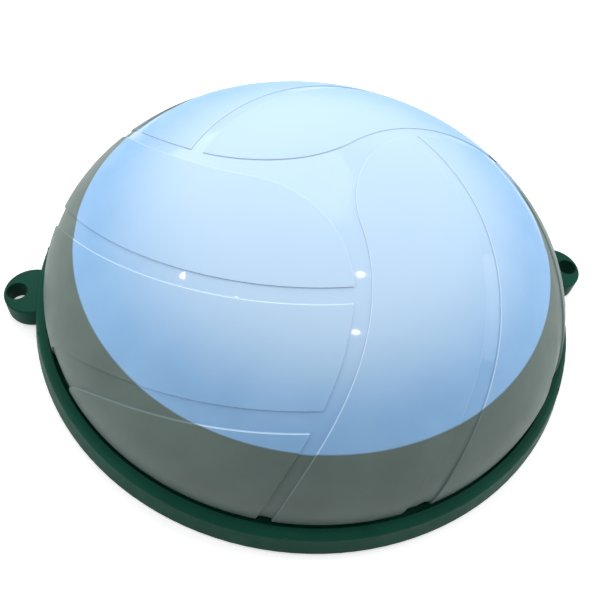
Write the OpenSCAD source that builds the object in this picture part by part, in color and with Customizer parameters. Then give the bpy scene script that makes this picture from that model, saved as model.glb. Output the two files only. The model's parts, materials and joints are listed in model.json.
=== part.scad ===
// Balance dome trainer: an inflated dome with raised swirl panels on a rigid round base.
// Millimetres, +Z up, origin on the floor under the centre, carrying ears along X.

/* [Dome] */
// Largest radius of the dome, at its widest line just above the base ring
dome_r = 274; // [250:1:290]
// Rise of the crown above the widest line
dome_rise = 137; // [110:1:170]
// Fullness of the shoulder, 0.41 being a plain ellipse
dome_fullness = 0.4; // [0.36:0.005:0.46]
// Radius of the flat middle of the crown
crown_flat_r = 26; // [10:1:28]
// Height of the widest line above the flange that clamps the dome
side_h = 19; // [15:0.5:24]
// Wall of the skin at the bottom of the grooves
skin_wall = 4; // [3:0.5:6]
// Height of the raised panels above the groove floors at the crown
panel_raise = 1; // [0.8:0.1:3]
// Height of the raised panels above the groove floors at the widest line
side_raise = 2; // [1.5:0.5:4]
// Height above the floor at which the groove floors turn into a straight wall
groove_crease_z = 70; // [60:1:84]
// Depth of the grooves at the foot of the dome
groove_foot = 4; // [3:0.5:7]

/* [Swirl panels] */
// Radius of the long swirl grooves, in plan
swirl_r = 215; // [208:1:222]
// How far the middle of a swirl groove passes from the dome's axis
swirl_miss = 0.5; // [0.25:0.25:3]
// Direction of the first swirl groove's centre
swirl_angle = -155; // [-180:0.5:-120]
// Width of a swirl groove a quarter turn round its centre from the crown
swirl_w = 9; // [6:0.5:12]
// How much wider a swirl groove is at the crown
swirl_flare = 7.5; // [4:0.5:10]
// Radius that rounds the inner end of each first panel
swirl_round = 124; // [100:1:130]
// Width of the seams between the panels of a group
seam_w = 14.5; // [8:0.5:18]
// Radius of the seam between the first and second panels
first_seam_r = 274; // [266:0.5:282]
// Distance of the first seam from the dome's axis, where it comes nearest
first_seam_near = 127; // [120:0.5:134]
// Direction of the first seam's centre
first_seam_angle = -150.5; // [-158:0.5:-143]
// Radius of the seam between the second and third panels
second_seam_r = 323; // [315:1:331]
// Distance of the second seam from the dome's axis, where it comes nearest
second_seam_near = 220.5; // [214:0.5:226]
// Direction of the second seam's centre
second_seam_angle = -146; // [-153:0.5:-139]

/* [Base ring] */
// Gap between the dome's widest line and the ring's lip
lip_gap = 2; // [1:0.5:4]
// Width of the ring from its lip to its outer edge
ring_w = 14; // [13:0.5:18]
// Height of the lip above the clamping flange
lip_h = 9; // [6:0.5:14]
// Lean of the ring's outer face, from its foot to its shoulder
ring_draft = 4; // [2:0.5:4]
// Radius of the ring's outer top edge
ring_round = 6; // [3:0.5:6]
// Wall of the ring moulding
ring_wall = 3; // [2:0.25:3.5]
// Thickness of the flange that clamps the dome's bead
clamp_t = 3; // [2:0.5:5]
// How far the clamping flange reaches in past the lip
clamp_reach = 12; // [9:0.5:12]

/* [Ears] */
// Radius of each rounded ear
ear_r = 29; // [26:0.5:36]
// Height of an ear from the ring's lower edge
ear_h = 21.5; // [16:0.5:24]
// Radius of an ear's upper edge
ear_edge = 2; // [1:0.25:3]
// Diameter of the hole through each ear
ear_hole_d = 21; // [14:0.5:22]
// Wall left between the hole and the ear's tip
ear_tip_wall = 3; // [2.5:0.25:5]

/* [Platform] */
// Thickness of the standing plate
plate_t = 4.5; // [4:0.25:7]
// Gap between the plate's edge and the ring's skirt
plate_gap = 0.6; // [0.3:0.1:1]
// Number of stiffening ribs under the dome
rib_count = 12; // [6:1:16]
// Height of the ribs
rib_h = 12; // [6:0.5:18]
// Thickness of the ribs
rib_t = 3; // [2:0.25:4]
// Number of grip rings on the standing face
grip_count = 5; // [2:1:6]
// Height of the grip rings
grip_h = 1.2; // [0.6:0.1:1.5]
// Width of the grip rings
grip_w = 3; // [2:0.5:5]
// Spacing of the grip rings
grip_pitch = 32; // [20:1:34]

/* [Bead and gasket] */
// Thickness of the dome's clamped bead
bead_t = 7; // [5:0.5:10]
// Gap between the bead's outer edge and the ring's wall
bead_gap = 1; // [0.5:0.25:2]
// Thickness of the gasket under the bead
gasket_t = 2; // [1.5:0.25:3]
// Depth of the gasket's seat in the plate
gasket_seat = 1; // [0.5:0.25:1.25]
// Width of the gasket
gasket_w = 13; // [8:0.5:14]

/* [Ring screws] */
// Number of screws that hold the ring down
screw_count = 16; // [8:2:24]
// Diameter of the screw shanks
screw_d = 3; // [2.5:0.25:3.5]
// Diameter of the screw heads
head_d = 6; // [5:0.25:6.5]
// Height of the screw heads
head_h = 1.8; // [1.4:0.1:2.2]
// Length of the screws under the head
screw_len = 14; // [10:0.5:16]

/* [Air valve] */
// Width of the square well that the valve sits in
well_w = 38.5; // [34:0.5:46]
// Depth of the well from the standing face
well_depth = 21.5; // [20:0.5:28]
// Wall of the well
well_wall = 3; // [2:0.25:4]
// Reach of the cup's round foot past the corners of the well
cup_foot = 8.5; // [6:0.5:12]
// Reach of the cup's lip over the platform
cup_lip = 6; // [4:0.5:8]
// Thickness of the cup's lip
cup_lip_t = 3; // [2:0.25:4]
// Radius of the valve seat's neck
seat_neck_r = 9.8; // [9:0.1:12]
// Radius of the valve seat's flange
seat_flange_r = 14; // [13:0.5:16]
// Thickness of the valve seat's flange
seat_flange_t = 2.5; // [2:0.25:4]
// Diameter of the plug's stem
plug_d = 10; // [7:0.25:11]
// Length of the plug's stem inside the seat
plug_stem = 9; // [7:0.5:11]
// Radius of the plug's cap
plug_cap_r = 11; // [9:0.5:13]
// Thickness of the plug's cap
plug_cap_t = 3; // [2:0.25:3.5]
// Radius of the finger knob under the cap
knob_r = 6.5; // [5:0.25:8]
// Height of the finger knob
knob_h = 4.5; // [3.5:0.25:5]

/* [Feet] */
// Number of rubber feet
foot_count = 8; // [6:1:10]
// Diameter of a foot
foot_d = 34; // [24:1:36]
// How far the feet stand below the base
foot_proud = 2.5; // [2:0.25:4]
// Depth of a foot's pocket in the plate
foot_seat = 2.5; // [1.5:0.25:3]
// Gap between a foot's pad on the plate and the gasket's seat
foot_gap = 3.5; // [1:0.5:8]

/* [Clearances] */
// Clearance round pieces that are laid into a pocket
lay_in = 0.3; // [0.1:0.05:0.5]
// Clearance round the plug's stem and the screw shanks
running_fit = 0.05; // [0.02:0.01:0.1]

/* [Hidden] */
$fn = 128;
GROUPS = 3;
GROUP_TURN = 360 / GROUPS;
OVER = 1;
// Air between the ring's flange and the tuck above it
TUCK_GAP = 1;
// How much thicker the neck above the bead is than the skin
NECK_EXTRA = 1.5;
// How much wider a screw boss is than the screw's head
BOSS_EXTRA = 0.7;
// How far the screw bosses stay inside the plate's edge
BOSS_INSET = 0.2;
// Height of the valve seat's locking rim, and how far it stands out past the hole
LOCK_T = 2.5;
LOCK_REACH = 2;
// Depth of the finger knob's waist
WAIST = 1.5;
// How far the rounded inner end of a first panel overlaps the swirl grooves' edges
ROUND_OVER = 0.1;
// Turn from a swirl groove's centre to the line that bounds its group of panels
GROUP_EDGE = 30;
FAR = 2 * (dome_r + dome_rise);

// Levels, from the floor up
base_z = foot_proud;
plate_top = base_z + plate_t;
gasket_z = plate_top - gasket_seat;
bead_z = gasket_z + gasket_t;
bead_top = bead_z + bead_t;
clamp_top = bead_top + clamp_t;
tuck_z = clamp_top + TUCK_GAP;
dome_side_z = clamp_top + side_h;
dome_top = dome_side_z + dome_rise;
ring_top = clamp_top + lip_h;
ear_top = base_z + ear_h;
well_roof_z = base_z + well_depth;
roof_top = well_roof_z + well_wall;

// Radii, from the dome out and in
lip_r = dome_r + lip_gap;
ring_r = lip_r + ring_w;
clamp_r = lip_r - clamp_reach;
neck_r = clamp_r - lay_in;
neck_wall = skin_wall + NECK_EXTRA;
bead_in = neck_r - neck_wall;
bead_out = lip_r - bead_gap;
gasket_mid = (bead_in + bead_out) / 2;
inner_wall_r = lip_r + ring_wall;
shoulder_out_r = ring_r - ring_draft;

// The ring's outer face leans in by ring_draft up to the start of its rounded edge
round_z = ring_top - ring_round;
function skirt_r(z) = ring_r - ring_draft * (z - base_z) / (round_z - base_z);
plate_r = skirt_r(plate_top) - ring_wall - plate_gap;
boss_r = head_d / 2 + BOSS_EXTRA;
well_out = well_w / 2 + well_wall;
cup_foot_r = well_out * sqrt(2) + cup_foot;
cup_lip_r = cup_foot_r + cup_lip;
foot_pocket_r = foot_d / 2 + lay_in;
foot_pad_r = foot_pocket_r + ring_wall;
foot_circle_r = gasket_mid - gasket_w / 2 - lay_in - foot_gap - foot_pad_r;
screw_circle_r = plate_r - boss_r - BOSS_INSET;

function polar(r, a) = [r * cos(a), r * sin(a)];
function unit(v) = v / norm(v);
function left_of(v) = [-v[1], v[0]];

// Meeting point of two circles, on the left of the way from the first centre to the second
function circles_meet(c0, r0, c1, r1) =
    let (
        span = norm(c1 - c0),
        along = (r0 * r0 - r1 * r1 + span * span) / (2 * span),
        aside = sqrt(r0 * r0 - along * along),
        way = unit(c1 - c0)
    )
    c0 + along * way + aside * left_of(way);

// Dome profile

// The bulge is an arc of a tilted ellipse. Across it u runs in from the widest line and v runs down from
// the crown, both from 0 to 1, and the arc is (1 - u - v)^2 = bulge_k u v.
bulge_k = pow(2 * dome_fullness / (1 - dome_fullness), 2);
bulge_mid = 2 / (4 - bulge_k);
bulge_long = sqrt(2 * bulge_k) / (4 - bulge_k);
bulge_short = sqrt(2 / (4 - bulge_k));

// Half profile of the bulge down to the tuck, drawn in by one amount at the side and another at the crown
module bulge_2d(side_in, crown_in) {
    intersection() {
        translate([0, tuck_z])
            square([FAR, FAR]);
        union() {
            translate([dome_r - side_in, dome_top - crown_in])
                scale([crown_flat_r + side_in - dome_r, crown_in - dome_rise])
                    translate([bulge_mid, bulge_mid])
                        rotate(45)
                            scale([bulge_long, bulge_short])
                                circle(r = 1, $fn = 256);
            translate([0, tuck_z])
                square([crown_flat_r, dome_top - crown_in - tuck_z]);
        }
    }
}

// Radius of the bulge at a height
function bulge_r(z, side_in, crown_in) =
    let (
        v = (dome_top - crown_in - z) / (dome_rise - crown_in),
        m = 2 + (bulge_k - 2) * v,
        u = (m - sqrt(m * m - 4 * pow(1 - v, 2))) / 2
    )
    dome_r - side_in - u * (dome_r - side_in - crown_flat_r);

// Half profile of the room under a bulge whose lower part leans straight from the foot to the crease. The
// leaning line runs on above the crease, where it is outside the bulge.
module room_2d(side_in, crown_in, foot_r) {
    crease_r = bulge_r(groove_crease_z, side_in, crown_in);
    lean = (foot_r - crease_r) / (groove_crease_z - dome_side_z);
    intersection() {
        union() {
            bulge_2d(side_in, crown_in);
            square([foot_r + OVER, dome_side_z]);
        }
        polygon([
            [0, 0], [foot_r, 0], [foot_r, dome_side_z], [foot_r - lean * dome_rise, dome_top], [0, dome_top]
        ]);
    }
}

// Half profile of the skin: bulge, tuck, neck and the bead that the ring clamps. The tuck runs in from the
// bulge to the neck at 45 degrees.
module skin_2d() {
    inner_foot_r = dome_r - groove_foot - skin_wall;
    difference() {
        union() {
            intersection() {
                bulge_2d(0, 0);
                polygon([
                    [0, tuck_z], [neck_r, tuck_z], [neck_r + dome_rise, tuck_z + dome_rise],
                    [neck_r + dome_rise, FAR], [0, FAR]
                ]);
            }
            translate([bead_in, bead_z])
                square([neck_r - bead_in, dome_side_z - bead_z]);
            translate([bead_in, bead_z])
                square([bead_out - bead_in, bead_t]);
        }
        difference() {
            room_2d(skin_wall + side_raise, skin_wall + panel_raise, inner_foot_r);
            polygon([
                [bead_in, 0], [bead_in, clamp_top], [inner_foot_r, dome_side_z], [FAR, dome_side_z], [FAR, 0]
            ]);
        }
    }
}

// Swirl layout in plan: three groups of three panels, with a swirl groove between the groups and two seams
// inside each group

swirl_out_r = swirl_r + swirl_w / 2;
swirl_in_r = swirl_r - swirl_w / 2;
swirl_offset = swirl_r - swirl_miss;
function swirl_turn(k) = swirl_angle + k * GROUP_TURN;
function swirl_out_c(k) = polar(swirl_offset - swirl_flare / 2, swirl_turn(k));
function swirl_in_c(k) = polar(swirl_offset + swirl_flare / 2, swirl_turn(k));

module disc_2d(c, r) {
    translate(c)
        circle(r = r, $fn = 256);
}

// Everything on the left of a line through a point
module left_2d(c, angle) {
    translate(c)
        rotate(angle)
            translate([-FAR, 0])
                square([2 * FAR, FAR]);
}

// A group lies outside its own swirl groove and inside the next one
module group_2d(k) {
    difference() {
        intersection() {
            left_2d([0, 0], swirl_turn(k) + GROUP_EDGE);
            union() {
                disc_2d(swirl_in_c(k + 1), swirl_in_r);
                left_2d([0, 0], swirl_turn(k + 1) + 180);
            }
        }
        disc_2d(swirl_out_c(k), swirl_out_r);
    }
}

// Rounded inner end of a group's first panel: a circle that runs into both swirl grooves, grown by a hair so
// that it crosses their edges and doesn't only touch them
module round_end_2d(k) {
    c0 = swirl_out_c(k);
    c1 = swirl_in_c(k + 1);
    c = circles_meet(c0, swirl_out_r + swirl_round, c1, swirl_in_r - swirl_round);
    start = c0 + swirl_out_r * unit(c - c0);
    end = c1 + swirl_in_r * unit(c - c1);
    disc_2d(c, swirl_round + ROUND_OVER);
    left_2d(end, atan2(start[1] - end[1], start[0] - end[0]));
}

module first_seam_2d(k, side) {
    seam_offset = first_seam_r - first_seam_near;
    disc_2d(polar(seam_offset, first_seam_angle + k * GROUP_TURN), first_seam_r + side * seam_w / 2);
}

module second_seam_2d(k, side) {
    seam_offset = second_seam_r - second_seam_near;
    disc_2d(polar(seam_offset, second_seam_angle + k * GROUP_TURN), second_seam_r + side * seam_w / 2);
}

module panels_2d() {
    for (k = [0:GROUPS - 1]) {
        intersection() {
            group_2d(k);
            first_seam_2d(k, -1);
            round_end_2d(k);
        }
        difference() {
            intersection() {
                group_2d(k);
                second_seam_2d(k, -1);
            }
            first_seam_2d(k, 1);
        }
        difference() {
            group_2d(k);
            second_seam_2d(k, 1);
        }
    }
}

// Sub-parts

module dome_skin() {
    color([0.74, 0.86, 0.97])
        difference() {
            rotate_extrude()
                skin_2d();
            difference() {
                translate([0, 0, bead_top + clamp_t / 2])
                    linear_extrude(dome_top)
                        difference() {
                            circle(r = dome_r + OVER, $fn = 256);
                            panels_2d();
                        }
                rotate_extrude()
                    room_2d(side_raise, panel_raise, dome_r - groove_foot);
            }
        }
}

// Half profile of the ring: skirt, rounded shoulder, lip wall and clamping flange
module ring_2d() {
    roof = ring_top - ring_wall;
    difference() {
        union() {
            polygon([
                [ring_r, base_z], [shoulder_out_r, round_z], [shoulder_out_r - ring_round, round_z],
                [shoulder_out_r - ring_round, ring_top], [lip_r, ring_top], [lip_r, base_z]
            ]);
            translate([shoulder_out_r - ring_round, round_z])
                circle(r = ring_round);
            translate([clamp_r, bead_top])
                square([inner_wall_r - clamp_r, clamp_t]);
        }
        translate([clamp_r - OVER, 0])
            square([inner_wall_r - clamp_r + OVER, bead_top]);
        polygon([
            [inner_wall_r, 0], [ring_r - ring_wall, 0], [ring_r - ring_wall, base_z],
            [shoulder_out_r - ring_wall, round_z], [shoulder_out_r - ring_round, roof], [inner_wall_r, roof]
        ]);
    }
}

module at_screws() {
    for (i = [0:screw_count - 1])
        rotate((i + 0.5) * 360 / screw_count)
            translate([screw_circle_r, 0, 0])
                children();
}

module ear() {
    hole_x = ring_r + ear_r - ear_tip_wall - ear_hole_d / 2;
    difference() {
        translate([ring_r, 0, 0])
            rotate_extrude() {
                translate([0, base_z])
                    square([ear_r, ear_h - ear_edge]);
                translate([0, base_z])
                    square([ear_r - ear_edge, ear_h]);
                translate([ear_r - ear_edge, ear_top - ear_edge])
                    intersection() {
                        circle(r = ear_edge);
                        square(ear_edge);
                    }
            }
        difference() {
            translate([ring_r, 0, 0])
                cylinder(r = ear_r - ring_wall, h = ear_top - ring_wall);
            translate([hole_x, 0, 0])
                cylinder(d = ear_hole_d + 2 * ring_wall, h = FAR);
            cylinder(r = ring_r, h = FAR);
        }
        translate([hole_x, 0, 0])
            cylinder(d = ear_hole_d, h = FAR);
        rotate_extrude()
            polygon([
                [0, 0], [ring_r - ring_wall / 2, 0], [ring_r - ring_wall / 2, base_z],
                [shoulder_out_r - ring_wall / 2, round_z], [shoulder_out_r - ring_wall / 2, FAR], [0, FAR]
            ]);
    }
}

module base_ring() {
    color([0.13, 0.29, 0.24])
        difference() {
            union() {
                rotate_extrude()
                    ring_2d();
                ear();
                rotate(180)
                    ear();
                at_screws()
                    translate([0, 0, plate_top])
                        cylinder(r = boss_r, h = ring_top - ring_wall / 2 - plate_top);
            }
            at_screws()
                translate([0, 0, plate_top - OVER])
                    cylinder(r = screw_d / 2 + running_fit, h = screw_len - plate_t + head_h + 2 * OVER);
        }
}

module at_foot(i) {
    rotate((i - 0.5) * 360 / foot_count)
        translate([foot_circle_r, 0, 0])
            children();
}

// Half profile of the plate with the grip rings and the hole that takes the valve cup
module platform_2d() {
    difference() {
        union() {
            translate([0, base_z])
                square([plate_r, plate_t]);
            for (i = [1:grip_count])
                translate([cup_foot_r + i * grip_pitch - grip_w / 2, base_z - grip_h])
                    square([grip_w, grip_h + OVER]);
        }
        translate([-OVER, 0])
            square([cup_foot_r + lay_in + OVER, FAR]);
        translate([gasket_mid - gasket_w / 2 - lay_in, gasket_z])
            square([gasket_w + 2 * lay_in, plate_t]);
    }
}

module platform() {
    rib_end_r = bead_in - lay_in - OVER;
    rib_start_r = cup_lip_r + lay_in;
    color([0.10, 0.20, 0.17])
        difference() {
            union() {
                rotate_extrude()
                    platform_2d();
                for (i = [0:rib_count - 1])
                    rotate(i * 360 / rib_count)
                        translate([rib_start_r, -rib_t / 2, plate_top - OVER])
                            cube([rib_end_r - rib_start_r, rib_t, rib_h + OVER]);
                for (i = [1:foot_count])
                    at_foot(i)
                        translate([0, 0, base_z])
                            cylinder(r = foot_pad_r, h = foot_seat + ring_wall);
            }
            for (i = [1:foot_count])
                at_foot(i)
                    cylinder(r = foot_pocket_r, h = base_z + foot_seat);
            at_screws() {
                cylinder(d = head_d + 2 * lay_in, h = base_z + head_h + lay_in);
                cylinder(d = screw_d + 2 * lay_in, h = FAR);
            }
        }
}

module bead_gasket() {
    color([0.08, 0.08, 0.08])
        rotate_extrude()
            translate([gasket_mid - gasket_w / 2, gasket_z])
                square([gasket_w, gasket_t]);
}

// Pan-head screws driven up through the plate into the ring's bosses
module ring_screws() {
    seat_z = base_z + head_h + lay_in;
    slot_w = head_d / 6;
    color([0.62, 0.64, 0.66])
        at_screws()
            translate([0, 0, seat_z]) {
                cylinder(d = screw_d, h = screw_len);
                difference() {
                    translate([0, 0, -head_h])
                        cylinder(d = head_d, h = head_h);
                    for (turn = [0, 90])
                        rotate(turn)
                            translate([-head_d / 3, -slot_w / 2, -head_h - OVER])
                                cube([head_d / 1.5, slot_w, head_h / 2 + OVER]);
                }
            }
}

// Cup let into the platform from above, whose square well leaves room for fingers round the plug
module valve_cup() {
    color([0.12, 0.23, 0.19])
        difference() {
            union() {
                translate([0, 0, base_z])
                    cylinder(r = cup_foot_r, h = plate_t + OVER);
                translate([0, 0, plate_top])
                    cylinder(r = cup_lip_r, h = cup_lip_t);
                translate([-well_out, -well_out, base_z + plate_t / 2])
                    cube([2 * well_out, 2 * well_out, roof_top - base_z - plate_t / 2]);
            }
            translate([-well_w / 2, -well_w / 2, 0])
                cube([well_w, well_w, well_roof_z]);
            cylinder(r = seat_neck_r + lay_in, h = FAR);
        }
}

// Rubber bush that grips the hole in the well's roof and holds the plug
module valve_seat() {
    lock_r = seat_neck_r + LOCK_REACH;
    bore_r = plug_d / 2 + running_fit;
    color([0.16, 0.16, 0.17])
        rotate_extrude() {
            translate([bore_r, well_roof_z - seat_flange_t])
                square([seat_flange_r - bore_r, seat_flange_t]);
            translate([bore_r, well_roof_z - OVER])
                square([seat_neck_r - bore_r, well_wall + LOCK_T + OVER]);
            translate([bore_r, roof_top])
                square([lock_r - bore_r, LOCK_T]);
        }
}

// Plug with a round-tipped stem, a cap that closes on the seat and a waisted finger knob
module air_plug() {
    cap_top = well_roof_z - seat_flange_t - running_fit;
    cap_bottom = cap_top - plug_cap_t;
    stem_r = plug_d / 2;
    tip = stem_r / 3;
    waist_r = knob_r - WAIST;
    lip_t = knob_h / 3;
    color([0.86, 0.87, 0.86])
        rotate_extrude() {
            translate([0, cap_top - OVER])
                square([stem_r, plug_stem - tip + OVER]);
            translate([0, cap_top - OVER])
                square([stem_r - tip, plug_stem + OVER]);
            translate([stem_r - tip, cap_top + plug_stem - tip])
                intersection() {
                    circle(r = tip);
                    square(tip);
                }
            translate([0, cap_bottom])
                square([plug_cap_r, plug_cap_t]);
            translate([0, cap_bottom - knob_h])
                square([waist_r, knob_h + OVER]);
            translate([0, cap_bottom - knob_h])
                square([knob_r, lip_t]);
        }
}

// Round rubber foot with a chamfered tread edge
module foot(i) {
    r = foot_d / 2;
    bevel = foot_proud / 2;
    color([0.07, 0.07, 0.07])
        at_foot(i)
            rotate_extrude()
                polygon([
                    [0, 0], [r - bevel, 0], [r, bevel],
                    [r, base_z + foot_seat], [0, base_z + foot_seat]
                ]);
}

dome_skin();
base_ring();
platform();
bead_gasket();
ring_screws();
valve_cup();
valve_seat();
air_plug();
for (i = [1:foot_count])
    foot(i);
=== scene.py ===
# %% [markdown]
# # Balance dome trainer
# An air-filled dome with raised swirl panels, clamped by a dark green ring to a flat base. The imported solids
# are the fixed frame: the ring, the base, the feet and the air plug keep their shape and get a finish here.
# The dome is soft moulded skin with rounded panel edges, so it is modelled again, in the place of its solid.

# %% Load the frame
import json
import math

import bmesh
import bpy
import numpy as np
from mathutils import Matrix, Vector, geometry, kdtree


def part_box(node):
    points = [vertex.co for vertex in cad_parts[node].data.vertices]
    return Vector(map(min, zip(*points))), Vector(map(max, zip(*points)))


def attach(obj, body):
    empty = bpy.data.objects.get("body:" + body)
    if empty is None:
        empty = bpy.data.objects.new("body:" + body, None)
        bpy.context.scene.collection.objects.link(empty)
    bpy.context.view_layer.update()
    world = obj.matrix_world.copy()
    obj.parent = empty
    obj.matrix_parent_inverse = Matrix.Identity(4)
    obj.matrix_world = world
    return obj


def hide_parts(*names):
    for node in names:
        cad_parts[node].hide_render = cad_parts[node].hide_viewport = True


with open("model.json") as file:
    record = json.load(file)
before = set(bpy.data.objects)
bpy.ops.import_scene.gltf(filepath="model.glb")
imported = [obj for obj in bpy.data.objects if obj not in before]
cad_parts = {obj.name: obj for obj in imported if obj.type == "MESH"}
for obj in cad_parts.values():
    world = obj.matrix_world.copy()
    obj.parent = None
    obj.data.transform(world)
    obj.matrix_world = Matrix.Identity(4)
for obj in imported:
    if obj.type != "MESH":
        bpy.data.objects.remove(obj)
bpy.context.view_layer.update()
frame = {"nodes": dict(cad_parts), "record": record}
bpy.ops.object.select_all(action="DESELECT")
MM = 0.001

# %% [markdown]
# ## The dome's profile
# Seen from the side, the dome is nearly flat on top and rolls over into an upright wall. One curve does that:
# a conic that leaves the wall upright and reaches the crown level, with one number for how full the shoulder
# is. The groove floors follow the same curve, let in a little at the crown and more at the side, and turn in
# further below the widest line. The profile is kept as tables along the outer surface, so that any point of
# the dome can be looked up by how far down from the crown it lies.

# %% Sizes of the dome, in millimetres
DOME_R = 274.0
CROWN_Z = 174.0
WIDEST_Z = 37.0
FOOT_Z = 29.0
CROWN_FLAT_R = 26.0
FULLNESS = 0.4
PANEL_RAISE = 1.0
SIDE_RAISE = 2.0
SKIN_WALL = 4.0
# How far panels and groove floors turn in below the widest line, and the power that says how late they do it
PANEL_TUCK = 0.4
PANEL_TURN = 2
FLOOR_TUCK = 3.0
FLOOR_TURN = 4
# Points of the profile on the flat crown, on the shoulder and below the widest line
FLAT_POINTS = 20
SHOULDER_POINTS = 400
FOOT_POINTS = 8


# %% Profile of the panels and of the groove floors
def shoulder(t, side_in, crown_in):
    """Radius and height on the shoulder, from the widest line (t = 0) to the crown's flat middle (t = 1)."""
    weight = FULLNESS / (1 - FULLNESS)
    low = (1 - t) ** 2
    corner = 2 * weight * t * (1 - t)
    high = t ** 2
    total = low + corner + high
    r = ((DOME_R - side_in) * (low + corner) + CROWN_FLAT_R * high) / total
    z = (WIDEST_Z * low + (CROWN_Z - crown_in) * (corner + high)) / total
    return r, z


def profile(side_in, crown_in, tuck, turn):
    """Half profile from the crown's centre down to the foot, drawn in at the side and at the crown."""
    flat_r = np.linspace(0, CROWN_FLAT_R, FLAT_POINTS, endpoint=False)
    flat_z = np.full(FLAT_POINTS, CROWN_Z - crown_in)
    shoulder_r, shoulder_z = shoulder(np.linspace(1, 0, SHOULDER_POINTS), side_in, crown_in)
    below = np.linspace(0, 1, FOOT_POINTS + 1)[1:]
    foot_r = DOME_R - side_in - tuck * below ** turn
    foot_z = WIDEST_Z + (FOOT_Z - WIDEST_Z) * below
    return np.concatenate([flat_r, shoulder_r, foot_r]), np.concatenate([flat_z, shoulder_z, foot_z])


panel_r, panel_z = profile(0, 0, PANEL_TUCK, PANEL_TURN)
floor_r, floor_z = profile(SIDE_RAISE, PANEL_RAISE, FLOOR_TUCK, FLOOR_TURN)
inner_r, inner_z = profile(SIDE_RAISE + SKIN_WALL, PANEL_RAISE + SKIN_WALL, 0, 1)
down = np.concatenate([[0], np.cumsum(np.hypot(np.diff(panel_r), np.diff(panel_z)))])
down_foot = down[-1]


def down_at(z):
    """How far down from the crown, along the panels' surface, a height lies."""
    return np.interp(-z, -panel_z[FLAT_POINTS:], down[FLAT_POINTS:])


down_widest = down_at(WIDEST_Z)
print(f"profile: {down_foot:.1f} mm from the crown's centre to the foot")

# %% [markdown]
# ## The swirl panels
# Three groups of three panels turn round the crown. Seen from above every edge is an arc of a circle: two
# arcs bound each swirl groove, two bound each seam, and one rounds the inner end of the first panel. A knife
# cut would draw these by hand, but it needs a window, so the edges are found by rule: a point of a circle
# belongs to an edge where there is panel on one side of it and groove on the other.

# %% Layout of the panels, in millimetres and degrees
GROUPS = 3
GROUP_TURN = 360 / GROUPS
# Turn from a swirl groove's centre to the line that bounds its group of panels
GROUP_EDGE = 30
# A swirl groove's radius, how far its middle passes from the axis, and the direction of its centre
SWIRL_R = 215.0
SWIRL_MISS = 0.5
SWIRL_ANGLE = -155.0
# A swirl groove's width a quarter turn from the crown, and how much wider it is at the crown
SWIRL_W = 9.0
SWIRL_FLARE = 7.5
# Radius of a first panel's inner end, and how far that circle reaches over the grooves' edges
SWIRL_ROUND = 124.0
ROUND_OVER = 0.1
SEAM_W = 14.5
FIRST_SEAM = {"r": 274.0, "near": 127.0, "angle": -150.5}
SECOND_SEAM = {"r": 323.0, "near": 220.5, "angle": -146.0}


# %% Circles that the panel edges lie on
def polar(r, degrees):
    return r * np.array([math.cos(math.radians(degrees)), math.sin(math.radians(degrees))])


def swirl(k, side):
    """Centre and radius of a swirl groove's outer (+1) or inner (-1) edge."""
    offset = SWIRL_R - SWIRL_MISS - side * SWIRL_FLARE / 2
    return polar(offset, SWIRL_ANGLE + k * GROUP_TURN), SWIRL_R + side * SWIRL_W / 2


def seam(k, line, side):
    """Centre and radius of a seam's outer (+1) or inner (-1) edge."""
    return polar(line["r"] - line["near"], line["angle"] + k * GROUP_TURN), line["r"] + side * SEAM_W / 2


def round_end(k):
    """The circle that rounds a first panel's inner end, and the chord past which the panel is whole."""
    c0, r0 = swirl(k, 1)
    c1, r1 = swirl(k + 1, -1)
    reach0 = r0 + SWIRL_ROUND
    reach1 = r1 - SWIRL_ROUND
    span = np.linalg.norm(c1 - c0)
    way = (c1 - c0) / span
    along = (reach0 ** 2 - reach1 ** 2 + span ** 2) / (2 * span)
    aside = math.sqrt(reach0 ** 2 - along ** 2)
    c = c0 + along * way + aside * np.array([-way[1], way[0]])
    start = c0 + r0 * (c - c0) / reach0
    end = c1 + r1 * (c - c1) / reach1
    return c, SWIRL_ROUND + ROUND_OVER, start, end


edge_circles = []
for k in range(GROUPS):
    edge_circles += [swirl(k, 1), swirl(k, -1), round_end(k)[:2]]
    for line in (FIRST_SEAM, SECOND_SEAM):
        edge_circles += [seam(k, line, 1), seam(k, line, -1)]
print("panel edges lie on", len(edge_circles), "circles")


# %% Which points are on a panel
def in_disc(p, circle):
    return np.hypot(p[:, 0] - circle[0][0], p[:, 1] - circle[0][1]) < circle[1]


def left_of(p, start, way):
    return way[0] * (p[:, 1] - start[1]) - way[1] * (p[:, 0] - start[0]) > 0


def on_panel(p):
    """True for the points, seen from above, that are on a raised panel."""
    found = np.zeros(len(p), bool)
    axis = np.zeros(2)
    for k in range(GROUPS):
        turn = SWIRL_ANGLE + k * GROUP_TURN
        group = left_of(p, axis, polar(1, turn + GROUP_EDGE)) & ~in_disc(p, swirl(k, 1))
        group &= in_disc(p, swirl(k + 1, -1)) | left_of(p, axis, polar(1, turn + GROUP_TURN + 180))
        c, r, start, end = round_end(k)
        first = in_disc(p, seam(k, FIRST_SEAM, -1)) & (in_disc(p, (c, r)) | left_of(p, end, start - end))
        second = in_disc(p, seam(k, SECOND_SEAM, -1)) & ~in_disc(p, seam(k, FIRST_SEAM, 1))
        third = ~in_disc(p, seam(k, SECOND_SEAM, 1))
        found |= group & (first | second | third)
    return found


# %% [markdown]
# ## From the plan to a mesh
# The dome is rolled out flat for the drawing, like a peeled skin: a point's distance from the middle is its
# distance down from the crown. Each edge is walked in short steps, with lines of points at set distances on
# both sides of it, so that the mesh has rows to round the edge with. The rows are close where the edge turns
# and wide on the open panel, which puts the faces where the light shows them.

# %% Stretches of the circles that are edges
# In millimetres: the step round a circle, how far to look to either side of it, and the step along an edge
SCAN_STEP = 0.5
HAIR = 0.02
EDGE_STEP = 3.0
HALVINGS = 40


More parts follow.
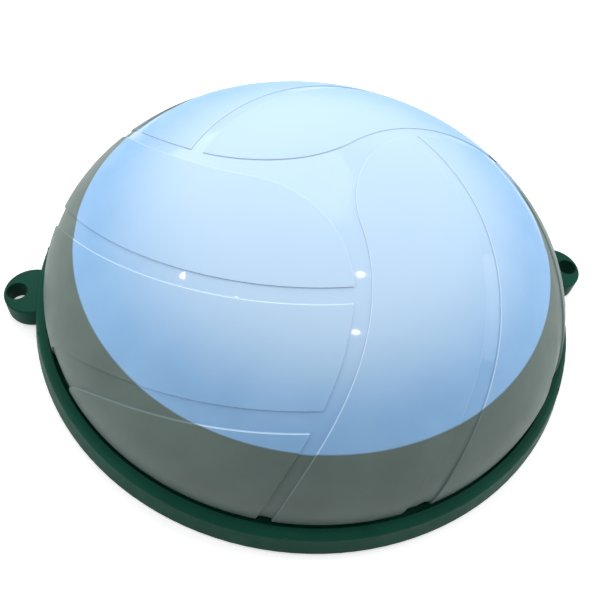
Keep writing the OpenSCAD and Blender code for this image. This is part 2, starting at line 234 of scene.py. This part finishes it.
def edge_stretches(c, r):
    """Start and end angles of the stretches of a circle that are panel edges."""
    def is_edge(angle):
        way = np.column_stack([np.cos(angle), np.sin(angle)])
        p = c + r * way
        inside = np.hypot(p[:, 0], p[:, 1]) < DOME_R
        return inside & (on_panel(p + HAIR * way) != on_panel(p - HAIR * way))

    def settle(outside, inside):
        """The end of a stretch, found by halving the gap between an angle off it and one on it."""
        for _ in range(HALVINGS):
            middle = (outside + inside) / 2
            if is_edge(np.array([middle]))[0]:
                inside = middle
            else:
                outside = middle
        return inside

    count = int(2 * math.pi * r / SCAN_STEP)
    step = 2 * math.pi / count
    flags = is_edge(np.arange(count) * step)
    starts = np.flatnonzero(flags & ~np.roll(flags, 1))
    ends = np.flatnonzero(flags & ~np.roll(flags, -1))
    for first in starts:
        last = ends[ends >= first].min() if (ends >= first).any() else ends.min() + count
        if (last - first) * step * r > EDGE_STEP:
            yield settle((first - 1) * step, first * step), settle((last + 1) * step, last * step)


# %% The edges on the rolled-out dome
LEAST_POINTS = 8
FOOT_STEPS = 5


def flat_point(reach, angle):
    return np.column_stack([reach * np.cos(angle), reach * np.sin(angle)])


def rolled_out(c, r, a0, a1):
    """A stretch of edge, rolled out, and carried on down to the foot where it reaches the widest line."""
    angle = np.linspace(a0, a1, max(LEAST_POINTS, int(r * (a1 - a0) / SCAN_STEP)))
    p = c + r * np.column_stack([np.cos(angle), np.sin(angle)])
    reach_plan = np.hypot(p[:, 0], p[:, 1])
    to_widest = len(down) - FOOT_POINTS
    reach = np.interp(reach_plan, panel_r[:to_widest], down[:to_widest])
    turn = np.unwrap(np.arctan2(p[:, 1], p[:, 0]))
    further = np.linspace(down_widest, down_foot, FOOT_STEPS + 1)[1:]
    if reach_plan[-1] > DOME_R - HAIR:
        reach = np.concatenate([reach, further])
        turn = np.concatenate([turn, np.full(len(further), turn[-1])])
    if reach_plan[0] > DOME_R - HAIR:
        reach = np.concatenate([further[::-1], reach])
        turn = np.concatenate([np.full(len(further), turn[0]), turn])
    return flat_point(reach, turn)


# %% Even steps along the edges, in millimetres
END_STEPS = (0.5, 1.0, 1.7)
LEAST_STOPS = 3


def walk(line):
    """Points along a line in even steps, closer together at both ends."""
    length = np.concatenate([[0], np.cumsum(np.linalg.norm(np.diff(line, axis=0), axis=1))])
    even = np.linspace(0, length[-1], max(LEAST_STOPS, round(length[-1] / EDGE_STEP)))
    stops = np.unique(np.concatenate([even, END_STEPS, length[-1] - np.array(END_STEPS)]))
    stops = stops[(stops >= 0) & (stops <= length[-1])]
    close = np.concatenate([[False], np.diff(stops) < HAIR])
    stops = stops[~close]
    return np.column_stack([np.interp(stops, length, line[:, i]) for i in (0, 1)])


edges = [walk(rolled_out(c, r, a0, a1)) for c, r in edge_circles for a0, a1 in edge_stretches(c, r)]
print(len(edges), "stretches of edge,", sum(len(e) for e in edges), "points along them")

# %% Distance from the edges
MARK_STEP = 10 * HAIR

marks = []
for line in edges:
    for a, b in zip(line[:-1], line[1:]):
        parts = max(1, round(np.linalg.norm(b - a) / MARK_STEP))
        marks.extend(a + (b - a) * i / parts for i in range(parts))
    marks.append(line[-1])
edge_tree = kdtree.KDTree(len(marks))
for i, mark in enumerate(marks):
    edge_tree.insert((*mark, 0), i)
edge_tree.balance()


def from_edge(points):
    return np.array([edge_tree.find((*p, 0))[2] for p in points])


print(len(marks), "marks to measure from")

# %% How far a point has sunk into a groove, by its distance from the edge in millimetres
DROP_AT = (-0.6, -0.3, -0.12, 0.0, 0.14, 0.32, 0.6)
DROP_SHARE = (1.0, 0.95, 0.80, 0.48, 0.20, 0.04, 0.0)


def over_panel(points):
    """True for the points of the rolled-out dome that are on a panel."""
    reach = np.hypot(points[:, 0], points[:, 1])
    turn = np.arctan2(points[:, 1], points[:, 0])
    plan = np.minimum(np.interp(reach, down, panel_r), DOME_R - HAIR)
    return on_panel(flat_point(plan, turn))


def sunk(points):
    """0 on top of a panel, 1 on a groove's floor, with a rounded edge between them."""
    side = np.where(over_panel(points), 1, -1)
    return np.interp(side * from_edge(points), DROP_AT, DROP_SHARE)


# %% Rows of points beside the edges, in millimetres
ROWS = (5.0, 2.4, 1.1, 0.6, 0.32, 0.14, -0.12, -0.3, -0.6, -1.4, -3.2)
# How far aside to look for the panel, and how near the rim a point is put on it
PROBE = 0.5
RIM_CATCH = 0.2
# A row keeps the points that are at least this share of its distance away from every edge
CLEAR_SHARE = 0.97


def beside(line, distance):
    """A row of points at a distance from an edge, on the panel's side if the distance is positive."""
    along = np.gradient(line, axis=0)
    along /= np.linalg.norm(along, axis=1)[:, None]
    across = np.column_stack([-along[:, 1], along[:, 0]])
    middle = len(line) // 2
    if not over_panel(line[middle:middle + 1] + across[middle:middle + 1] * PROBE)[0]:
        across = -across
    return line + distance * across


def to_rim(points):
    """Points at the foot are put exactly on the rim."""
    reach = np.hypot(points[:, 0], points[:, 1])
    scale = np.where(reach > down_foot - RIM_CATCH, down_foot / reach, 1)
    return points * scale[:, None]


chains = [to_rim(line) for line in edges]
for line in edges:
    for distance in ROWS:
        row = to_rim(beside(line, distance))
        clear = from_edge(row) > CLEAR_SHARE * abs(distance) - HAIR
        right_side = over_panel(row) == (distance > 0)
        starts = np.flatnonzero(np.diff(np.concatenate([[0], (clear & right_side).astype(int), [0]])))
        chains += [row[a:b] for a, b in zip(starts[::2], starts[1::2])]
print(len(chains), "rows of points")

# %% Fans of points round the panels' corners, and a grid over the open faces
CORNER_CLEAR = 1.0
FAN_POINTS = 16
GRID_STEP = 9.0
GRID_CLEAR = 6.5
GRID_ACROSS = 40
GRID_DEEP = 45
RIM_STEP = 4.0

corners = [end for line in edges for end in (line[0], line[-1]) if np.hypot(*end) < down_foot - CORNER_CLEAR]
fan = np.linspace(0, 2 * math.pi, FAN_POINTS, endpoint=False)
groove_rows = [-distance for distance in ROWS if distance < 0]
loose = []
for corner in corners:
    for distance in groove_rows:
        ring = corner + flat_point(distance, fan)
        keep = (from_edge(ring) > CLEAR_SHARE * distance - HAIR) & ~over_panel(ring)
        loose.extend(ring[keep])

grid = np.array([
    ((i + 0.5 * (j % 2)) * GRID_STEP, j * GRID_STEP * math.sqrt(3) / 2)
    for i in range(-GRID_ACROSS, GRID_ACROSS + 1) for j in range(-GRID_DEEP, GRID_DEEP + 1)
])
inside = np.hypot(grid[:, 0], grid[:, 1]) < down_foot - RIM_STEP
grid = grid[inside]
loose.extend(grid[from_edge(grid) > GRID_CLEAR])
print(len(corners), "corners,", len(loose), "single points")

# %% Triangulate, keeping every row as a row of mesh edges
RIM_CLEAR = RIM_STEP / 3
MERGE = HAIR / 4

rim = [p for chain in chains for p in (chain[0], chain[-1]) if np.hypot(*p) > down_foot - HAIR]
rim_turns = sorted(math.atan2(p[1], p[0]) for p in rim)
for turn in np.linspace(-math.pi, math.pi, round(2 * math.pi * down_foot / RIM_STEP), endpoint=False):
    if min(abs(turn - t) for t in rim_turns) * down_foot > RIM_CLEAR:
        rim.append(flat_point(np.array([down_foot]), np.array([turn]))[0])
rim.sort(key=lambda p: math.atan2(p[1], p[0]))

plan_points = []
plan_edges = []
for chain in chains + [np.array(rim + rim[:1])]:
    first = len(plan_points)
    plan_points.extend(Vector(p) for p in chain)
    plan_edges.extend((first + i, first + i + 1) for i in range(len(chain) - 1))
plan_points.extend(Vector(p) for p in loose)
flat, _, triangles, *_ = geometry.delaunay_2d_cdt(plan_points, plan_edges, [], 0, MERGE)
flat = np.array(flat)
print(len(flat), "points in", len(triangles), "triangles")

# %% [markdown]
# ## Raise the dome
# Each flat point now gets its real place: its distance from the middle gives the height and radius on the
# profile, and its distance from the nearest edge says how far it has sunk from the panel to the groove floor.
# A plan can't say how an edge slants on the upright wall near the foot, because the wall is a mere line when
# seen from above, so a small sweep round the dome is added there. The skin is a closed shell, so its rim is
# then drawn on, ring by ring: tucked in above the ring's flange, round the bead that the ring clamps, and up
# the inside to the crown.

# %% Outer face, swept by an angle in degrees that grows from a height in millimetres down to the foot
SWEEP_FROM_Z = 70.0
FOOT_SWEEP = 1.0

reach = np.hypot(flat[:, 0], flat[:, 1])
turn = np.arctan2(flat[:, 1], flat[:, 0])
groove = sunk(flat)
down_sweep = down_at(SWEEP_FROM_Z)
low = np.clip((reach - down_sweep) / (down_foot - down_sweep), 0, 1)
turn = turn - math.radians(FOOT_SWEEP) * low ** 2
outer_r = (1 - groove) * np.interp(reach, down, panel_r) + groove * np.interp(reach, down, floor_r)
outer_z = (1 - groove) * np.interp(reach, down, panel_z) + groove * np.interp(reach, down, floor_z)
outer = np.column_stack([outer_r * np.cos(turn), outer_r * np.sin(turn), outer_z])

dome_mesh = bpy.data.meshes.new("dome")
dome_mesh.from_pydata((outer * MM).tolist(), [], triangles)
shape = bmesh.new()
shape.from_mesh(dome_mesh)
groove_layer = shape.verts.layers.float.new("groove")
for vert, share in zip(shape.verts, groove):
    vert[groove_layer] = share
print(f"outer face: {groove.mean():.2f} of its points are in the grooves")

# %% Tuck, neck, bead and inner wall, in millimetres
NECK_R = 263.7
TUCK_Z = 19.0
CLAMP_TOP = 18.0
BEAD_TOP = 15.0
BEAD_IN = 258.2
BEAD_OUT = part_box("dome_skin")[1].x / MM
BEAD_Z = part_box("dome_skin")[0].z / MM
INNER_RINGS = 18

tuck_r = DOME_R - SIDE_RAISE - FLOOR_TUCK
stations = [
    (tuck_r, TUCK_Z + tuck_r - NECK_R), (NECK_R, TUCK_Z), (NECK_R, BEAD_TOP), (BEAD_OUT, BEAD_TOP),
    (BEAD_OUT, BEAD_Z), (BEAD_IN, BEAD_Z), (BEAD_IN, CLAMP_TOP),
]
widest = len(inner_r) - FOOT_POINTS - 1
inner_stops = np.linspace(widest, FLAT_POINTS, INNER_RINGS).astype(int)
stations += [(inner_r[i], inner_z[i]) for i in inner_stops]
rim_edges = [e for e in shape.edges if e.is_boundary]
for r, z in stations:
    made = bmesh.ops.extrude_edge_only(shape, edges=rim_edges)["geom"]
    rim_edges = [g for g in made if isinstance(g, bmesh.types.BMEdge)]
    for vert in (g for g in made if isinstance(g, bmesh.types.BMVert)):
        angle = math.atan2(vert.co.y, vert.co.x)
        vert.co = Vector((r * math.cos(angle), r * math.sin(angle), z)) * MM
        vert[groove_layer] = 1
bmesh.ops.edgeloop_fill(shape, edges=rim_edges)
bmesh.ops.recalc_face_normals(shape, faces=shape.faces)
shape.to_mesh(dome_mesh)
open_edges = sum(not e.is_manifold for e in shape.edges)
shape.free()
print("shell:", len(stations), "rings added,", open_edges, "open edges")

# %% The dome as an object
SHARP_FROM = math.radians(50)

dome = bpy.data.objects.new("dome", dome_mesh)
bpy.context.scene.collection.objects.link(dome)
bpy.context.view_layer.objects.active = dome
dome.select_set(True)
bpy.ops.object.shade_smooth_by_angle(angle=SHARP_FROM)
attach(dome, "trainer")
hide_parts("dome_skin")
print("dome:", len(dome_mesh.polygons), "faces")

# %% [markdown]
# ## Finishes
# A moulded piece is never one flat colour: the pigment is a little cloudy, the mould leaves a fine grain, and
# the gloss varies too. Each finish is made of the same few steps, noise on the piece's own coordinates that
# is mapped to a colour, a roughness or a small bump, so the steps are helpers here.


# %% Noise, ranges and products
def new_finish(name):
    material = bpy.data.materials.new(name)
    material.use_nodes = True
    tree = material.node_tree
    return material, tree, tree.nodes["Principled BSDF"].inputs


def noise(tree, lumps_per_metre, detail=3.0):
    """Noise on the piece's own coordinates."""
    place = tree.nodes.new("ShaderNodeTexCoord")
    texture = tree.nodes.new("ShaderNodeTexNoise")
    texture.inputs["Scale"].default_value = lumps_per_metre
    texture.inputs["Detail"].default_value = detail
    tree.links.new(place.outputs["Object"], texture.inputs["Vector"])
    return texture.outputs["Fac"]


def mapped(tree, value, start, end, low, high, soft=False):
    """Maps a value from one range to another and stops at its ends. A soft map eases in and out."""
    node = tree.nodes.new("ShaderNodeMapRange")
    if soft:
        node.interpolation_type = "SMOOTHSTEP"
    for name, number in (("From Min", start), ("From Max", end), ("To Min", low), ("To Max", high)):
        node.inputs[name].default_value = number
    tree.links.new(value, node.inputs["Value"])
    return node.outputs["Result"]


def product(tree, first, second):
    node = tree.nodes.new("ShaderNodeMath")
    node.operation = "MULTIPLY"
    tree.links.new(first, node.inputs[0])
    tree.links.new(second, node.inputs[1])
    return node.outputs["Value"]


# %% Mixed colours and bumps
# The mix node has a set of sockets for each kind of value. These are the numbers of its colour sockets.
MIX_COLOURS_IN = (6, 7)
MIX_COLOUR_OUT = 2


def between(tree, share, first, second):
    """A colour between two others. Each is a colour or another node's output."""
    node = tree.nodes.new("ShaderNodeMix")
    node.data_type = "RGBA"
    tree.links.new(share, node.inputs["Factor"])
    for number, colour in zip(MIX_COLOURS_IN, (first, second)):
        if isinstance(colour, tuple):
            node.inputs[number].default_value = (*colour, 1)
        else:
            tree.links.new(colour, node.inputs[number])
    return node.outputs[MIX_COLOUR_OUT]


def bump(tree, shader, height, distance, strength):
    node = tree.nodes.new("ShaderNodeBump")
    node.inputs["Distance"].default_value = distance
    node.inputs["Strength"].default_value = strength
    tree.links.new(height, node.inputs["Height"])
    tree.links.new(node.outputs["Normal"], shader["Normal"])
    return node


# %% [markdown]
# ## The dome's skin
# The skin is pale blue PVC over most of the dome and grey-green round its foot. The colours meet in a
# slightly tilted plane through the dome, and the blue runs a little further down in the grooves. A painted
# sheen pales the blue towards the crown, where the light above would shine on it; painted highlights lighten
# the rims of the panels, and painted shade darkens the foot of the groove walls. The panels are satin with a
# fine grain, and the blue part of the grooves is smooth and shines. All this could be painted on an image.
# Here it is read from two values instead, a point's height and the groove value that the mesh carries, so it
# stays sharp from close by and needs no picture.

# %% Height and groove value, which the skin's colours go by
BAND_Z = 109.5
BAND_LEAN = (0.0, -0.03, 1.0)
BAND_SOFT = 0.5
BAND_STEP = 2.0
# Between these two heights a painted sheen pales the blue towards the crown, in place of the shine of the
# light above
PAINTED_SHEEN_FROM = 122.0
PAINTED_SHEEN_TOP = 168.0

skin, tree, shader = new_finish("dome_skin_pvc")
place = tree.nodes.new("ShaderNodeTexCoord")
level = tree.nodes.new("ShaderNodeVectorMath")
level.operation = "DOT_PRODUCT"
level.inputs[1].default_value = BAND_LEAN
tree.links.new(place.outputs["Object"], level.inputs[0])
groove_value = tree.nodes.new("ShaderNodeAttribute")
groove_value.attribute_name = "groove"
in_groove = groove_value.outputs["Fac"]
stepped = tree.nodes.new("ShaderNodeMath")
stepped.operation = "ADD"
tree.links.new(level.outputs["Value"], stepped.inputs[0])
tree.links.new(mapped(tree, in_groove, 0, 1, 0, BAND_STEP * MM), stepped.inputs[1])
height = stepped.outputs["Value"]
above = mapped(tree, height, (BAND_Z - BAND_SOFT) * MM, (BAND_Z + BAND_SOFT) * MM, 0, 1)
painted_sheen = mapped(tree, height, PAINTED_SHEEN_FROM * MM, PAINTED_SHEEN_TOP * MM, 0, 1, soft=True)
print(f"the blue starts at {BAND_Z} mm and is palest from {PAINTED_SHEEN_TOP} mm up")

# %% The two bands, cloudy, and a painted sheen that pales the blue towards the crown
BLUE = (0.275, 0.51, 0.825)
BLUE_CLOUD = (0.305, 0.545, 0.855)
BLUE_PAINTED_SHEEN = (0.555, 0.755, 0.98)
GREY = (0.128, 0.172, 0.158)
GREY_CLOUD = (0.146, 0.197, 0.180)
# The noise is used between these values, where most of it lies
CLOUD_RANGE = (0.35, 0.65)
SKIN_CLOUDS = 24
SKIN_CLOUD_DETAIL = 6

cloud = mapped(tree, noise(tree, SKIN_CLOUDS, SKIN_CLOUD_DETAIL), *CLOUD_RANGE, 0, 1)
plain_blue = between(tree, cloud, BLUE, BLUE_CLOUD)
# painted sheen: the blue gets paler towards the crown
blue = between(tree, painted_sheen, plain_blue, BLUE_PAINTED_SHEEN)
grey = between(tree, cloud, GREY, GREY_CLOUD)
paint = between(tree, above, grey, blue)
print("bands:", len(tree.nodes), "nodes so far")

# %% Painted highlights on the panel rims and painted shade at the foot of the groove walls, by the groove value, which goes from 0 on a panel to 1 on a groove's floor
# Painted highlight: the panel rims are made paler, as if the light caught their rounded edges
RIM_HIGHLIGHT_BLUE = (0.82, 0.92, 1.0)
RIM_HIGHLIGHT_GREY = (0.24, 0.30, 0.27)
RIM_FROM = 0.02
RIM_TO = 0.6
RIM_HIGHLIGHT_SHARE = 0.75
# Painted shade: a darker colour along the foot of the groove walls, where shade falls in the groove
PAINTED_SHADE = (0.03, 0.12, 0.28)
PAINTED_SHADE_FROM = 0.55
PAINTED_SHADE_FULL = 0.8
PAINTED_SHADE_END = 0.93
PAINTED_SHADE_SHARE = 0.3

rim = mapped(tree, in_groove, RIM_TO, 0, 0, RIM_HIGHLIGHT_SHARE)
on_rim = mapped(tree, in_groove, 0, RIM_FROM, 0, 1)
pale = between(tree, above, RIM_HIGHLIGHT_GREY, RIM_HIGHLIGHT_BLUE)
# painted highlight along the panel rims
paint = between(tree, product(tree, rim, on_rim), paint, pale)
painted_foot_shade = mapped(tree, in_groove, PAINTED_SHADE_FROM, PAINTED_SHADE_FULL, 0, PAINTED_SHADE_SHARE)
off_floor = mapped(tree, in_groove, PAINTED_SHADE_END, 1, 1, 0)
# painted shade at the foot of the groove walls
paint = between(tree, product(tree, painted_foot_shade, off_floor), paint, PAINTED_SHADE)
tree.links.new(paint, shader["Base Color"])
print("rims and dirt:", len(tree.nodes), "nodes so far")

# %% Gloss and grain of the skin
GLOSS_RANGE = (0.3, 0.7)
SATIN = (0.42, 0.50)
SATIN_LUMPS = 60
POLISH_FROM = 0.02
POLISH_FULL = 0.3
POLISHED = (0.06, 0.06, 0.06)
GRAIN_PER_METRE = 900
GRAIN_DETAIL = 2
GRAIN_DEPTH = 0.00012
GRAIN_ON_PANELS = 0.4
GRAIN_IN_GROOVES = 0.02
SKIN_SPECULAR = 0.15

satin = mapped(tree, noise(tree, SATIN_LUMPS), *GLOSS_RANGE, *SATIN)
polished = product(tree, mapped(tree, in_groove, POLISH_FROM, POLISH_FULL, 0, 1), above)
shine = between(tree, polished, satin, POLISHED)
tree.links.new(shine, shader["Roughness"])
grain = bump(tree, shader, noise(tree, GRAIN_PER_METRE, GRAIN_DETAIL), GRAIN_DEPTH, GRAIN_ON_PANELS)
calmer = mapped(tree, polished, 0, 1, GRAIN_ON_PANELS, GRAIN_IN_GROOVES)
tree.links.new(calmer, grain.inputs["Strength"])
shader["Specular IOR Level"].default_value = SKIN_SPECULAR
dome_mesh.materials.append(skin)
print("dome skin:", len(tree.nodes), "nodes")

# %% [markdown]
# ## The other finishes
# The ring and the base are dark green moulded plastic. The feet, the gasket and the valve's bush are black
# rubber, the screws are zinc plated and the plug is glossy white plastic. They differ only in colours, gloss
# and grain, so one recipe makes them all, and the record says which node takes which finish.

# %% Recipe for a moulded finish
MOULD_CLOUDS = 26
MOULD_LUMPS = 90
MOULD_GRAIN = 0.5


def moulded(name, dark, light, gloss, grain_per_metre, grain_depth):
    """Cloudy pigment between two colours, a roughness range and a fine mould grain."""
    material, tree, shader = new_finish(name)
    cloud = mapped(tree, noise(tree, MOULD_CLOUDS), *CLOUD_RANGE, 0, 1)
    tree.links.new(between(tree, cloud, dark, light), shader["Base Color"])
    tree.links.new(mapped(tree, noise(tree, MOULD_LUMPS), *GLOSS_RANGE, *gloss), shader["Roughness"])
    bump(tree, shader, noise(tree, grain_per_metre, GRAIN_DETAIL), grain_depth, MOULD_GRAIN)
    return material, shader


# %% Finish of every solid
RING_SPECULAR = 0.07

ring_green, ring_shader = moulded(
    "ring_green", dark=(0.004, 0.056, 0.035), light=(0.006, 0.067, 0.043),
    gloss=(0.45, 0.55), grain_per_metre=1300, grain_depth=0.00008)
ring_shader["Specular IOR Level"].default_value = RING_SPECULAR
base_green, _ = moulded(
    "base_green", dark=(0.008, 0.040, 0.029), light=(0.013, 0.052, 0.038),
    gloss=(0.42, 0.55), grain_per_metre=700, grain_depth=0.0002)
rubber_black, _ = moulded(
    "rubber_black", dark=(0.014, 0.014, 0.015), light=(0.024, 0.024, 0.025),
    gloss=(0.62, 0.78), grain_per_metre=900, grain_depth=0.0002)
zinc_plate, zinc_shader = moulded(
    "zinc_plate", dark=(0.52, 0.54, 0.56), light=(0.66, 0.67, 0.68),
    gloss=(0.28, 0.42), grain_per_metre=2500, grain_depth=0.00003)
zinc_shader["Metallic"].default_value = 1
plug_white, _ = moulded(
    "plug_white", dark=(0.74, 0.75, 0.74), light=(0.82, 0.83, 0.82),
    gloss=(0.18, 0.28), grain_per_metre=1500, grain_depth=0.00004)

finishes = {
    "ring_plastic": ring_green,
    "platform_plastic": base_green,
    "black_rubber": rubber_black,
    "screw_steel": zinc_plate,
    "plug_plastic": plug_white,
}
for part in frame["record"]["subparts"]:
    if part["material_slot"] in finishes:
        mesh = frame["nodes"][part["node"]].data
        mesh.materials.clear()
        mesh.materials.append(finishes[part["material_slot"]])
print("finishes:", sorted(finishes))

# %% [markdown]
# ## Floor, light and camera
# The trainer stands on a plain white floor, with a soft lamp behind it and one on either side. Four small
# ceiling lamps make the small highlights in the shining grooves. The room lights the object more from the
# back than from the front. To the camera and in reflections the world is plain white, as a white studio would
# be: a gradient there would show as a grey background.


# %% Floor
def seen_as_background(tree):
    """1 for what the camera sees, directly, mirrored or through glass, and 0 for what lights the object."""
    path = tree.nodes.new("ShaderNodeLightPath")
    share = path.outputs["Is Camera Ray"]
    for name in ("Is Glossy Ray", "Is Transmission Ray"):
        either = tree.nodes.new("ShaderNodeMath")
        either.operation = "MAXIMUM"
        tree.links.new(share, either.inputs[0])
        tree.links.new(path.outputs[name], either.inputs[1])
        share = either.outputs["Value"]
    return share


FLOOR_SIZE = 12.0
FLOOR_WHITE = (0.9, 0.9, 0.9, 1)
FLOOR_LIFT = 0.45

bpy.ops.object.select_all(action="DESELECT")
bpy.ops.mesh.primitive_plane_add(size=FLOOR_SIZE, location=(0, 0, 0))
floor = bpy.context.object
floor.name = "floor"
paper = bpy.data.materials.new("floor_paper")
paper.use_nodes = True
tree = paper.node_tree
tree.nodes.clear()
matt = tree.nodes.new("ShaderNodeBsdfDiffuse")
matt.inputs["Color"].default_value = FLOOR_WHITE
lift = tree.nodes.new("ShaderNodeEmission")
tree.links.new(mapped(tree, seen_as_background(tree), 0, 1, 0, FLOOR_LIFT), lift.inputs["Strength"])
both = tree.nodes.new("ShaderNodeAddShader")
tree.links.new(matt.outputs["BSDF"], both.inputs[0])
tree.links.new(lift.outputs["Emission"], both.inputs[1])
output = tree.nodes.new("ShaderNodeOutputMaterial")
tree.links.new(both.outputs["Shader"], output.inputs["Surface"])
floor.data.materials.append(paper)
print("floor:", FLOOR_SIZE, "m wide")

# %% World, brightest towards the back
FRONT_GREY = 0.08
AMBIENT = 0.64
BRIGHT_SIDE = (0.25, 0.76, 0.6)
ROOM_RANGE = (-0.75, 0.35)
WHITE = (1.0, 1.0, 1.0)

world = bpy.data.worlds.new("studio")
bpy.context.scene.world = world
world.use_nodes = True
tree = world.node_tree
place = tree.nodes.new("ShaderNodeTexCoord")
facing = tree.nodes.new("ShaderNodeVectorMath")
facing.operation = "DOT_PRODUCT"
facing.inputs[1].default_value = BRIGHT_SIDE
tree.links.new(place.outputs["Generated"], facing.inputs[0])
room = mapped(tree, facing.outputs["Value"], *ROOM_RANGE, FRONT_GREY * AMBIENT, AMBIENT)
shown = between(tree, seen_as_background(tree), room, WHITE)
tree.links.new(shown, tree.nodes["Background"].inputs["Color"])
print("world:", len(tree.nodes), "nodes")

# %% Lamps: places and sizes in metres, power in watts
AIM = (0, 0, 0.1)
SOFTBOXES = {
    "back_softbox": {"place": (-0.2, 1.4, 1.25), "size": 1.3, "power": 14},
    "left_softbox": {"place": (-1.5, 0.05, 0.85), "size": 1.0, "power": 6.5},
    "right_softbox": {"place": (1.5, 0.0, 0.8), "size": 1.0, "power": 9},
}
CEILING_PLACES = ((0.59, 0.38, 2.0), (0.50, -0.38, 2.05), (-0.60, 0.36, 2.02), (-1.15, 0.49, 1.76))
CEILING_SIZE = 0.05
CEILING_POWER = 1.1


def lamp(name, place, size, power):
    """A soft square lamp that faces the trainer."""
    light = bpy.data.lights.new(name, "AREA")
    light.size = size
    light.energy = power
    holder = bpy.data.objects.new(name, light)
    holder.location = place
    holder.rotation_euler = (Vector(AIM) - Vector(place)).to_track_quat("-Z", "Y").to_euler()
    bpy.context.scene.collection.objects.link(holder)


for name, box in SOFTBOXES.items():
    lamp(name, **box)
for i, place in enumerate(CEILING_PLACES):
    lamp(f"ceiling_lamp_{i + 1}", place, CEILING_SIZE, CEILING_POWER)
print("lamps:", len(SOFTBOXES), "large and", len(CEILING_PLACES), "small")

# %% Camera, fitted to the outlines in the photograph, in millimetres, metres and degrees
SENSOR_WIDTH = 36
LENS = 41.0057
CAMERA_PLACE = (-0.11581, -0.45764, 0.61021)
CAMERA_TURN = (36.6687, -4.9095, -7.0266)

camera = bpy.data.cameras.new("camera")
camera.sensor_width = SENSOR_WIDTH
camera.lens = LENS
holder = bpy.data.objects.new("camera", camera)
holder.location = CAMERA_PLACE
holder.rotation_euler = [math.radians(a) for a in CAMERA_TURN]
bpy.context.scene.collection.objects.link(holder)
bpy.context.scene.camera = holder
bpy.context.scene.view_settings.view_transform = "Standard"
print("camera:", LENS, "mm lens")
